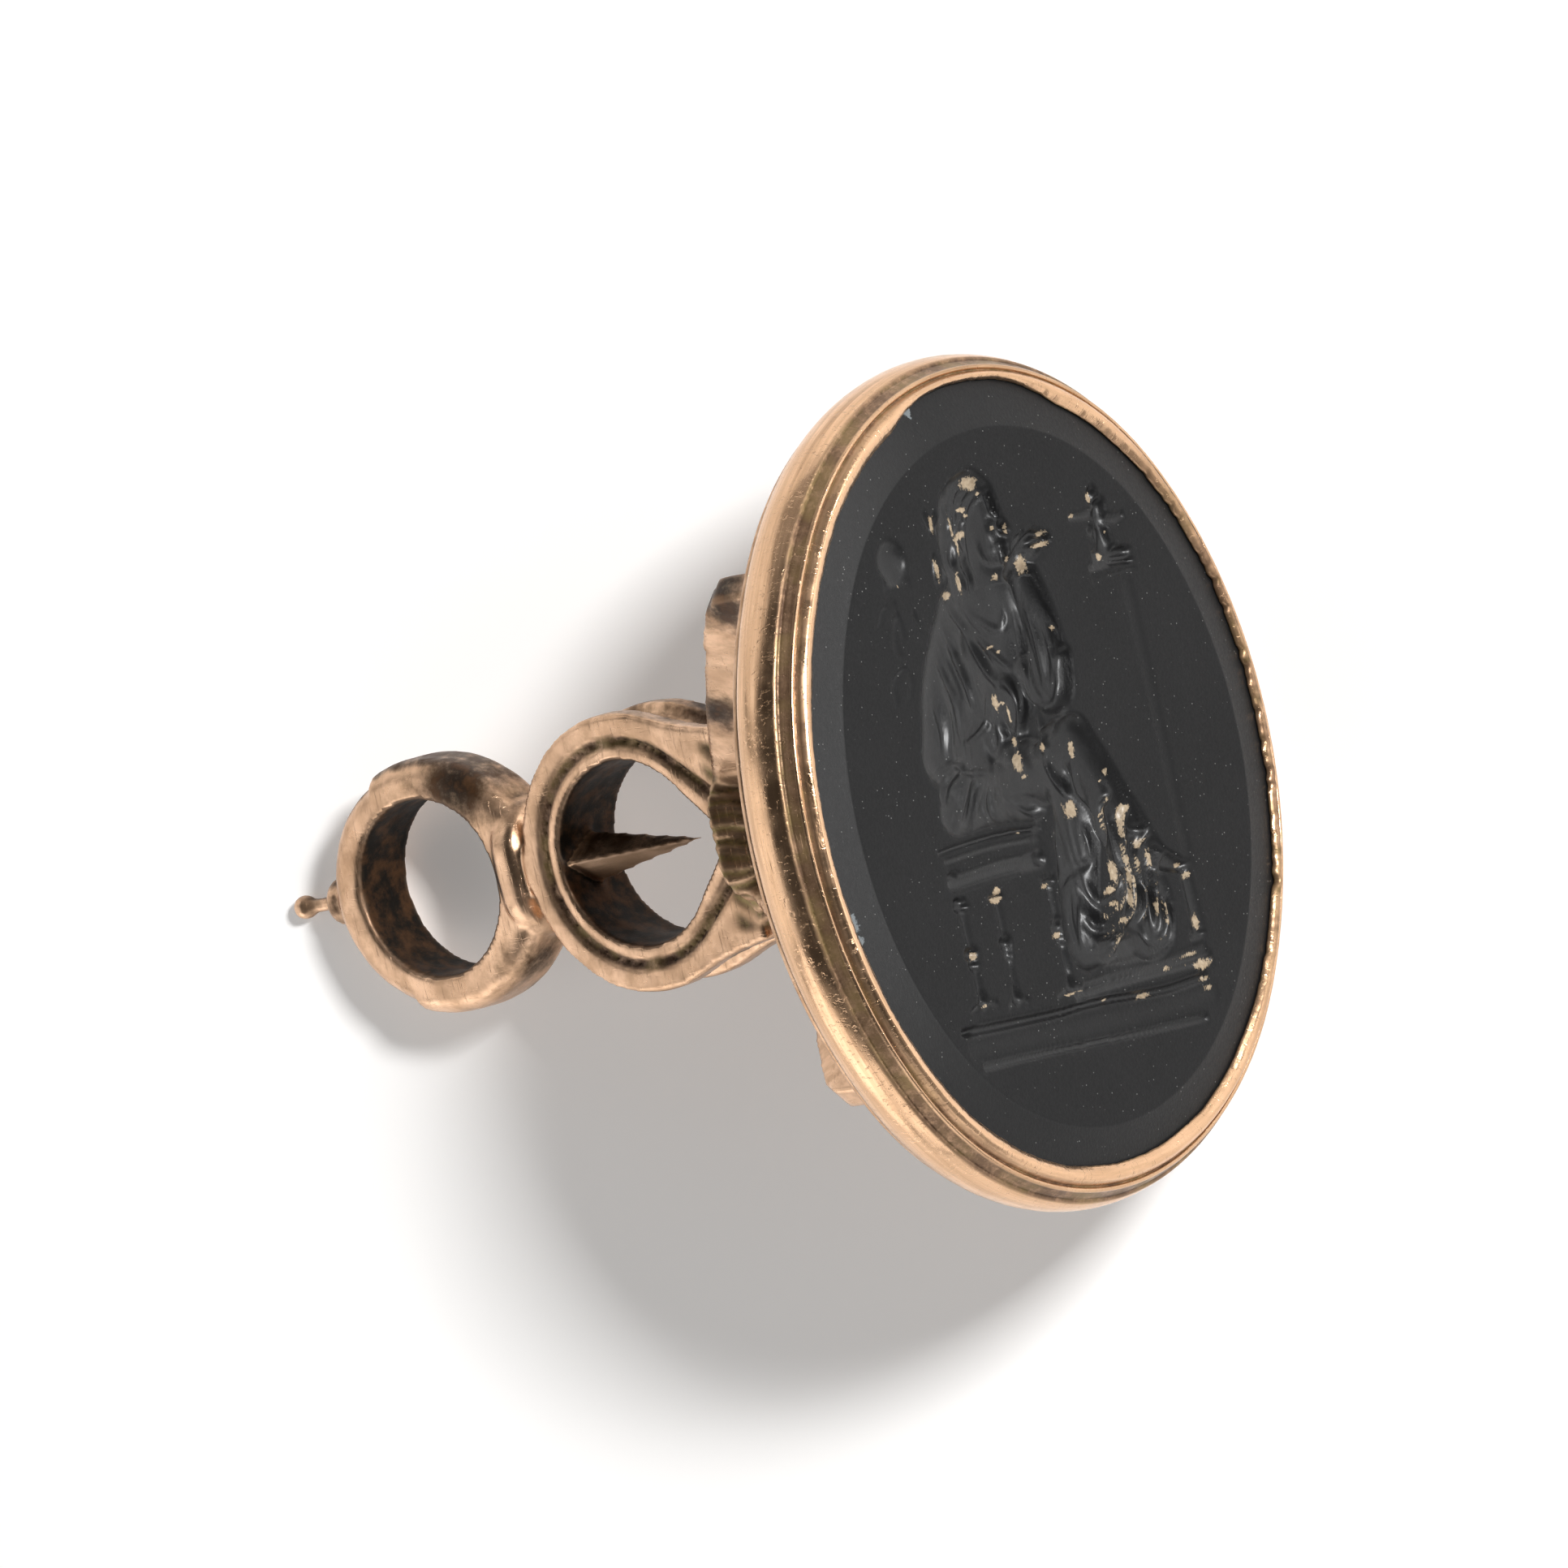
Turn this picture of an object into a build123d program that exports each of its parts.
"""An old fob seal: an oval intaglio stone in a rubbed-over gold bezel, on a cast openwork stem.

The seal is drawn standing on its stone: X runs along the oval's long axis, Y along its short
axis, and Z rises from the edge of the stone's face (Z = 0) towards the finial. At the end the
whole seal is laid down as it rests on a table, on the oval's broad side and the finial.
All lengths are in millimetres.
"""
import os
from math import asin, atan2, cos, degrees, hypot, radians, sin, sqrt

from build123d import *

# Stone: the visible oval, its bevel, and the girdle that the bezel's lip covers
stone_length = 24.1
stone_width = 21.2
oval_end_radius = 9.9
bevel_width = 1.2
bevel_rise = 0.3
girdle_cover = 0.45
stone_depth = 1.75
stone_back_chamfer = 0.2

# Bezel: offsets are measured outwards from the stone's visible edge
setting_gap = 0.05
lip_inner_height = 0.16
lip_height = 0.27
lip_width = 0.58
lip_start_share = 0.2
lip_crown_share = 0.6
lip_groove_width = 0.06
lip_groove_depth = 0.08
bead_width = 0.16
step_width = 0.16
step_depth = 0.42
band_overhang = 1.26
band_belly_depth = 1.2
band_belly_radius = 1.6
bezel_depth = 2.05

# Back plate: its edge shows as a thin rim behind the band
plate_overhang = 0.86
plate_edge = 0.3
plate_edge_round = 0.13
plate_dome_inset = 0.3
plate_dome = 0.35

# Pedestal under the stem, and the lobed foot that it carries
pedestal_base_radius = 5.4
pedestal_neck_radius = 1.9
hollow_radius_share = 0.24
hollow_height_share = 0.38
foot_bottom = 9.4
foot_rim_height = 11.1
foot_top = 12.1
foot_radius = 3.2
foot_lobes = 8
foot_lobe_rise = 0.36
dome_round_share = 0.62

# Four arms that run from the foot to the back plate
upper_arm_angle = 44.5
lower_arm_angle = 44.0
arm_reach = 11.2
arm_width = 1.0
arm_height = 1.35
arm_inner_reach = 2.2
arm_top_height = 11.5
upper_toe_height = 5.0
lower_toe_height = 4.6
arm_toe_length = 0.55
arm_heel_height = 3.3
upper_arm_sag = -0.3
lower_arm_sag = 0.75
toe_leaf_share = 0.8
toe_leaf_rise = 0.1

# Cage: the large pear-shaped loop, with a groove along each face and a channel round its rim
cage_centre = 15.8
cage_outer_radius = 4.45
cage_window_radius = 2.95
cage_depth = 2.9
cage_waist = 3.4
cage_shoulder_angle = 22.0
window_foot_width = 1.1
window_foot_rise = 0.2
window_side_angle = 41.0
face_groove_radius = 3.55
face_groove_width = 0.3
face_groove_depth = 0.22
rim_channel_width = 1.3
rim_channel_depth = 0.45

# What is soldered on runs this far into what it is soldered to
solder_depth = 0.2

# Spike: the four-sided point that hangs in the cage
spike_tip_height = 14.0
spike_width = 1.8
spike_tip_width = 0.06

# Collar bead between the cage and the bow
collar_length = 4.4
collar_depth = 3.2
collar_height = 21.0
collar_thickness = 1.1
collar_edge_round = 0.4
neck_length = 3.5
neck_depth = 2.1
neck_reach_down = 1.3
neck_reach_up = 0.7

# Bow and finial
bow_centre = 24.7
bow_eye_radius = 2.85
bow_side_radius = 3.9
bow_top_reach = 4.2
bow_depth = 2.4
bow_edge_round = 0.65
shoulder_height = 26.3
shoulder_overhang = 0.22
finial_disc_radius = 0.78
finial_disc_flat_radius = 0.62
finial_disc_clearance = 0.1
finial_disc_thickness = 0.62
finial_neck_radius = 0.25
finial_ball_radius = 0.42
finial_ball_height = 31.05

# Oval of four tangent arcs: the centres and radii of its end and side arcs
half_length = stone_length / 2
half_width = stone_width / 2
end_centre = half_length - oval_end_radius
oval_side_radius = (end_centre**2 + half_width**2 - oval_end_radius**2) / (2 * (half_width - oval_end_radius))
side_centre = oval_side_radius - half_width
join_angle = degrees(atan2(side_centre, end_centre))


def oval_arcs(outset):
    """The four arcs, end to end from the +X tip, of an oval parallel to the stone's visible edge."""
    end = oval_end_radius + outset
    side = oval_side_radius + outset
    CenterArc((end_centre, 0), end, 0, join_angle)
    CenterArc((0, -side_centre), side, join_angle, 180 - 2 * join_angle)
    CenterArc((-end_centre, 0), end, 180 - join_angle, 2 * join_angle)
    CenterArc((0, side_centre), side, 180 + join_angle, 180 - 2 * join_angle)
    CenterArc((end_centre, 0), end, 360 - join_angle, join_angle)


def oval_face(outset):
    """A filled oval, parallel to the stone's visible edge."""
    with BuildSketch() as oval:
        with BuildLine():
            oval_arcs(outset)
        make_face()
    return oval.sketch


# Intaglio: wheel cuts in the stone's table. Each cut is a spindle, from one point of the table to
# another, as broad and as deep as the table says. Places are from the oval's centre, +x to the head.
wheel_cuts = [
    # part,            x1,    y1,    x2,    y2,   width, depth
    ("head",          9.20, -0.80,  6.10, -0.60,  2.30, 0.62),
    ("long_hair",     9.10, -1.90,  5.90, -2.80,  1.30, 0.42),
    ("neck",          6.70, -1.00,  4.90, -0.90,  1.20, 0.42),
    ("shoulders",     5.70, -2.90,  4.90,  1.30,  1.80, 0.60),
    ("chest",         5.90, -1.00,  1.20, -0.90,  3.00, 0.80),
    ("raised_arm",    6.60,  0.90,  1.60,  1.20,  1.50, 0.60),
    ("hand",          6.50,  0.60,  7.50,  2.30,  0.80, 0.30),
    ("hanging_arm",   5.60, -2.70,  1.00, -4.30,  1.60, 0.52),
    ("lap",           2.90, -2.70, -0.40, -1.60,  2.60, 0.66),
    ("hip",           1.00, -5.50, -1.00, -2.60,  1.80, 0.50),
    ("thigh",        -0.50, -3.20, -0.50,  1.90,  2.00, 0.66),
    ("near_leg",      1.80,  0.70, -5.90,  1.60,  2.40, 0.75),
    ("far_leg",       0.90,  2.00, -4.90,  3.80,  1.90, 0.60),
    ("hem",          -5.20,  0.00, -5.50,  4.40,  1.20, 0.42),
    ("foot",         -5.90,  0.30, -6.20,  4.60,  0.60, 0.22),
    ("seat",         -1.40, -6.00, -1.60, -0.80,  0.50, 0.20),
    ("seat_rail",    -2.30, -6.00, -2.50, -0.90,  0.60, 0.20),
    ("stool_leg_1",  -2.80, -5.45, -6.30, -5.50,  0.40, 0.16),
    ("stool_leg_2",  -2.80, -3.85, -6.40, -3.80,  0.40, 0.16),
    ("stool_leg_3",  -2.50, -1.35, -6.60, -1.15,  0.46, 0.18),
    ("plinth",       -6.55, -2.10, -6.90,  5.70,  0.56, 0.22),
    ("ground_line",  -6.65, -6.70, -7.45,  5.40,  0.30, 0.12),
    ("lower_line",   -7.90, -6.30, -8.50,  5.10,  0.26, 0.10),
    ("column",        5.20,  5.70, -6.40,  5.40,  0.50, 0.14),
    ("capital",       5.55,  3.90,  5.60,  6.40,  0.60, 0.24),
    ("small_figure",  8.50,  4.90,  5.70,  5.20,  0.90, 0.34),
    ("globe",         7.30, -5.75,  7.40, -4.35,  1.10, 0.30),
    ("sceptre",       6.90, -5.40,  3.60, -6.10,  0.36, 0.14),
]
table_height = -bevel_rise


def cut_with_wheel(x1, y1, x2, y2, width, depth):
    """Cuts one spindle into the open part: an arc turned about a line that lies off the table."""
    half = width / 2
    radius = (half**2 + depth**2) / (2 * depth)
    reach = hypot(x2 - x1, y2 - y1) / 2 / sqrt(depth / radius)
    along = Vector(x2 - x1, y2 - y1, 0).normalized()
    middle = Vector((x1 + x2) / 2, (y1 + y2) / 2, table_height - radius + depth)
    with BuildSketch(Plane(middle, x_dir=along, z_dir=along.cross(Vector(0, 0, 1)))) as half_spindle:
        with BuildLine():
            rim = ThreePointArc((-reach, 0), (0, radius), (reach, 0))
            Line(rim @ 1, rim @ 0)
        make_face()
    revolve(half_spindle.sketch, axis=Axis(middle, along), mode=Mode.SUBTRACT)


with BuildPart() as intaglio_stone:
    girdle_height = bevel_rise * girdle_cover / bevel_width
    with BuildSketch(Plane.XY.offset(table_height)):
        add(oval_face(-bevel_width))
    with BuildSketch(Plane.XY.offset(girdle_height)):
        add(oval_face(girdle_cover))
    loft(ruled=True)
    with BuildSketch(Plane.XY.offset(girdle_height)):
        add(oval_face(girdle_cover))
    extrude(amount=stone_depth - girdle_height)
    chamfer(intaglio_stone.edges().group_by(Axis.Z)[-1], stone_back_chamfer)
    for part, *cut in wheel_cuts:
        cut_with_wheel(*cut)

with BuildPart() as bezel:
    with BuildLine() as oval_path:
        oval_arcs(0)
    with BuildSketch(Plane((half_length, 0, 0), x_dir=(1, 0, 0), z_dir=(0, -1, 0))):
        with BuildLine():
            wall = girdle_cover + setting_gap
            ledge_height = girdle_height - setting_gap
            lip_foot = (0, -setting_gap)
            groove = (lip_width + lip_groove_width, lip_groove_depth)
            bead = (groove[0] + bead_width, groove[1])
            belly_centre = band_overhang - band_belly_radius
            step = (bead[0] + step_width, step_depth)
            step_rise = band_belly_depth - step_depth
            band_start = (belly_centre + sqrt(band_belly_radius**2 - step_rise**2), step_depth)
            heel_drop = bezel_depth - band_belly_depth
            band_heel = (belly_centre + sqrt(band_belly_radius**2 - heel_drop**2), bezel_depth)
            lip_rise = Line(lip_foot, (lip_width * lip_start_share, -lip_inner_height))
            lip = ThreePointArc(lip_rise @ 1, (lip_width * lip_crown_share, -lip_height), (lip_width, 0))
            Line(lip @ 1, groove)
            small_bead = ThreePointArc(groove, (groove[0] + bead_width / 2, 0), bead)
            Line(small_bead @ 1, step)
            Line(step, band_start)
            belly = ThreePointArc(band_start, (band_overhang, band_belly_depth), band_heel)
            Polyline(belly @ 1, (wall, bezel_depth), (wall, ledge_height), lip_foot)
        make_face()
    sweep(path=oval_path.line)

plate_bottom = bezel_depth + setting_gap
plate_rim_top = plate_bottom + plate_edge
plate_top = plate_rim_top + plate_dome


def arm_profile(toe_height, sag):
    """One arm seen from its side: it leaves the foot, sags a little and turns down into its toe."""
    top_start = Vector(arm_inner_reach, arm_top_height)
    toe_start = Vector(arm_reach - arm_toe_length, toe_height)
    slope = atan2(toe_start.Y - top_start.Y, toe_start.X - top_start.X)
    across = Vector(sin(slope), -cos(slope))
    middle = (top_start + toe_start) / 2 - Vector(0, sag)
    heel_inside = arm_reach - arm_height
    with BuildSketch() as profile:
        with BuildLine():
            top_edge = ThreePointArc(top_start, middle, toe_start)
            toe_end = (arm_reach, toe_height - arm_toe_length)
            toe = TangentArc(top_edge @ 1, toe_end, tangent=top_edge % 1)
            sole = ((arm_reach, plate_bottom), (heel_inside, plate_bottom))
            heel = Polyline(toe @ 1, *sole, (heel_inside, arm_heel_height))
            low_edge = ThreePointArc(heel @ 1, middle + across * arm_height, top_start + across * arm_height)
            Line(low_edge @ 1, top_start)
        make_face()
        # leaf: the arm's end curls back over the toe as a thin raised tongue
        with BuildLine():
            leaf_start = top_edge @ toe_leaf_share
            leaf_end = toe @ (1 - toe_leaf_share)
            raised = -toe_leaf_rise * across
            Polyline(
                leaf_start - raised, leaf_start + raised, leaf_end + raised, leaf_end - raised, close=True
            )
        make_face()
    return profile.sketch


def scalloped_face(radius):
    """A round face whose edge is a ring of outward lobes."""
    step = 360 / foot_lobes
    valley = radius - foot_lobe_rise
    with BuildSketch() as outline:
        with BuildLine():
            for lobe in range(foot_lobes):
                angles = [radians((lobe + share) * step) for share in (0, 0.5, 1)]
                start, crest, end = [
                    (reach * cos(angle), reach * sin(angle))
                    for reach, angle in zip((valley, radius, valley), angles)
                ]
                ThreePointArc(start, crest, end)
        make_face()
    return outline.sketch


def cage_outline(inset=0.0):
    """The cage's outer outline: a round loop that narrows to a waist at the foot."""
    radius = cage_outer_radius - inset
    shoulder = radians(cage_shoulder_angle)
    side = (radius * cos(shoulder), cage_centre - radius * sin(shoulder))
    waist = cage_waist - inset
    with BuildSketch() as outline:
        with BuildLine():
            crown = ThreePointArc((-side[0], side[1]), (0, cage_centre + radius), side)
            right = TangentArc(crown @ 1, (waist, foot_rim_height), tangent=crown % 1)
            base = Line(right @ 1, (-waist, foot_rim_height))
            TangentArc(crown @ 0, base @ 1, tangent=-(crown % 0))
        make_face()
    return outline.sketch


def window_outline(outset=0.0):
    """The cage's window: round above, with straight sides that close towards the foot."""
    radius = cage_window_radius + outset
    turn = radians(window_side_angle)
    foot_half = window_foot_width / 2 + outset
    side = (radius * cos(turn), cage_centre - radius * sin(turn))
    sill = foot_top + window_foot_rise - outset
    with BuildSketch() as outline:
        with BuildLine():
            head = ThreePointArc((-side[0], side[1]), (0, cage_centre + radius), side)
            Polyline(head @ 1, (foot_half, sill), (-foot_half, sill), head @ 0)
        make_face()
    return outline.sketch


# Upright plane through the seal's axis and its long axis, seen from -Y
side_view = Plane((0, 0, 0), x_dir=(1, 0, 0), z_dir=(0, -1, 0))
groove_outset = face_groove_radius - cage_window_radius


def rounded_disc(overhang=0.0):
    """The bow's outer form without its eye: an oval disc with well rounded edges."""
    with BuildPart() as disc:
        with BuildSketch(side_view):
            with Locations((0, bow_centre)):
                Ellipse(bow_side_radius + overhang, bow_top_reach + overhang)
        extrude(amount=bow_depth / 2, both=True)
        fillet(disc.faces().filter_by(Axis.Y).edges(), bow_edge_round)
    return disc.part


with BuildPart() as cage:
    with BuildSketch(side_view):
        add(cage_outline())
    extrude(amount=cage_depth / 2, both=True)
    with BuildSketch(side_view):
        add(window_outline())
    extrude(amount=cage_depth, both=True, mode=Mode.SUBTRACT)
    # grooves along both faces, round the window
    for face_side in (-1, 1):
        with BuildSketch(side_view.offset(face_side * (cage_depth / 2 - face_groove_depth))):
            add(window_outline(groove_outset + face_groove_width / 2))
            add(window_outline(groove_outset - face_groove_width / 2), mode=Mode.SUBTRACT)
        extrude(amount=face_side * cage_depth, mode=Mode.SUBTRACT)
    # channel round the rim
    with BuildSketch(side_view):
        add(cage_outline(-rim_channel_depth))
        add(cage_outline(rim_channel_depth), mode=Mode.SUBTRACT)
    extrude(amount=rim_channel_width / 2, both=True, mode=Mode.SUBTRACT)

with BuildPart() as bow:
    # cheeks: below its shoulders the bow is a little broader
    add(rounded_disc(shoulder_overhang))
    with BuildSketch(side_view):
        with Locations((0, shoulder_height)):
            Rectangle(4 * bow_side_radius, 2 * bow_top_reach, align=(Align.CENTER, Align.MIN))
    extrude(amount=bow_depth, both=True, mode=Mode.SUBTRACT)
    add(rounded_disc())
    with Locations(side_view):
        with Locations((0, bow_centre)):
            Hole(bow_eye_radius)

with BuildPart() as collar:
    with BuildSketch(Plane.XY.offset(collar_height - collar_thickness / 2)):
        SlotOverall(collar_length, collar_depth)
    extrude(amount=collar_thickness)
    fillet(collar.faces().filter_by(Axis.Z).edges(), collar_edge_round)

with BuildPart() as stem:
    # back plate
    with BuildSketch(Plane.XY.offset(stone_depth + setting_gap)):
        add(oval_face(girdle_cover))
    extrude(amount=plate_bottom - stone_depth - setting_gap)
    with BuildSketch(Plane.XY.offset(plate_bottom)):
        add(oval_face(plate_overhang))
    extrude(amount=plate_edge)
    fillet(stem.edges().group_by(Axis.Z)[-1], plate_edge_round)
    with BuildSketch(Plane.XY.offset(plate_rim_top)):
        add(oval_face(plate_overhang - plate_dome_inset))
    with BuildSketch(Plane.XY.offset(plate_top)):
        add(oval_face(plate_overhang - plate_dome_inset - 2 * plate_dome))
    loft(ruled=True)

    # pedestal: a hollow-sided cone up to the foot
    with BuildSketch(Plane.XZ):
        with BuildLine():
            base = (pedestal_base_radius, plate_rim_top)
            neck = (pedestal_neck_radius, foot_bottom)
            hollow = (
                neck[0] + hollow_radius_share * (base[0] - neck[0]),
                base[1] + hollow_height_share * (neck[1] - base[1]),
            )
            ThreePointArc(base, hollow, neck)
            Polyline(neck, (neck[0], foot_rim_height), (0, foot_rim_height), (0, base[1]), base)
        make_face()
    revolve(axis=Axis.Z)

    # lobed foot, widest at its upper rim, with a low dome on it
    with BuildSketch(Plane.XY.offset(foot_bottom)):
        add(scalloped_face(pedestal_neck_radius + foot_lobe_rise))
    with BuildSketch(Plane.XY.offset(foot_rim_height)):
        add(scalloped_face(foot_radius))
    loft(ruled=True)
    with BuildSketch(Plane.XZ):
        with BuildLine():
            dome = ThreePointArc(
                (foot_radius - foot_lobe_rise, foot_rim_height),
                (
                    foot_radius * dome_round_share,
                    foot_rim_height + dome_round_share * (foot_top - foot_rim_height),
                ),
                (0, foot_top),
            )
            Line(dome @ 1, (0, foot_rim_height))
            Line((0, foot_rim_height), dome @ 0)
        make_face()
    revolve(axis=Axis.Z)

    # four arms, two above and two below the middle, to their toes on the back plate
    upper_pair = (0, upper_arm_angle, upper_toe_height, upper_arm_sag)
    lower_pair = (180, lower_arm_angle, lower_toe_height, lower_arm_sag)
    for middle_bearing, half_spread, toe_height, sag in (upper_pair, lower_pair):
        for side in (-1, 1):
            bearing = radians(middle_bearing + side * half_spread)
            outwards = Vector(cos(bearing), sin(bearing), 0)
            arm_plane = Plane((0, 0, 0), x_dir=outwards, z_dir=outwards.cross(Vector(0, 0, 1)))
            with BuildSketch(arm_plane):
                add(arm_profile(toe_height, sag))
            extrude(amount=arm_width / 2, both=True)

    add(cage.part)

    # spike inside the cage
    spike_root = cage_centre + cage_window_radius
    with BuildSketch(Plane.XY.offset(spike_root + solder_depth)):
        with BuildLine():
            root_half = spike_width / 2
            side = cage_depth / 2
            Polyline((root_half, 0), (0, side), (-root_half, 0), (0, -side), close=True)
        make_face()
    with BuildSketch(Plane.XY.offset(spike_tip_height)):
        with BuildLine():
            tip_half = spike_tip_width / 2
            Polyline((tip_half, 0), (0, tip_half), (-tip_half, 0), (0, -tip_half), close=True)
        make_face()
    loft(ruled=True)

    # collar and necks between the cage and the bow
    with BuildSketch(Plane.XY.offset(collar_height - neck_reach_down)):
        SlotOverall(neck_length, neck_depth)
    extrude(amount=neck_reach_down + neck_reach_up)
    add(collar.part)

    add(bow.part)

    # finial: a disc, a thin neck and a ball
    with BuildSketch(Plane.XZ):
        with BuildLine():
            disc_root = bow_centre + bow_top_reach - solder_depth
            disc_low = bow_centre + bow_top_reach + finial_disc_clearance
            disc_high = disc_low + finial_disc_thickness
            ball_low = finial_ball_height - sqrt(finial_ball_radius**2 - finial_neck_radius**2)
            shank = Polyline(
                (0, disc_root), (finial_disc_flat_radius, disc_root), (finial_disc_flat_radius, disc_low)
            )
            disc = ThreePointArc(
                shank @ 1,
                (finial_disc_radius, (disc_low + disc_high) / 2),
                (finial_disc_flat_radius, disc_high),
            )
            neck = Polyline(disc @ 1, (finial_neck_radius, disc_high), (finial_neck_radius, ball_low))
            ball = ThreePointArc(
                neck @ 1,
                (finial_ball_radius, finial_ball_height),
                (0, finial_ball_height + finial_ball_radius),
            )
            Line(ball @ 1, (0, disc_root))
        make_face()
    revolve(axis=Axis.Z)

# Rest: the seal lies on the broad side of its band and on the finial's ball
belly_y = half_width + band_overhang - band_belly_radius
between = hypot(belly_y, finial_ball_height - band_belly_depth)
lean = degrees(
    atan2(belly_y, finial_ball_height - band_belly_depth)
    + asin((band_belly_radius - finial_ball_radius) / between)
)
laid_down = Location((0, 0, 0), (-90 - lean, 0, 0))
laid_box = Compound(children=[piece.part.moved(laid_down) for piece in (bezel, stem)]).bounding_box()
rest = Location((-laid_box.center().X, -laid_box.center().Y, -laid_box.min.Z)) * laid_down

os.makedirs("parts", exist_ok=True)
for name, piece in (("intaglio_stone", intaglio_stone), ("bezel", bezel), ("stem", stem)):
    laid_piece = piece.part.moved(rest)
    laid_piece.label = name
    export_step(laid_piece, f"parts/{name}.step")
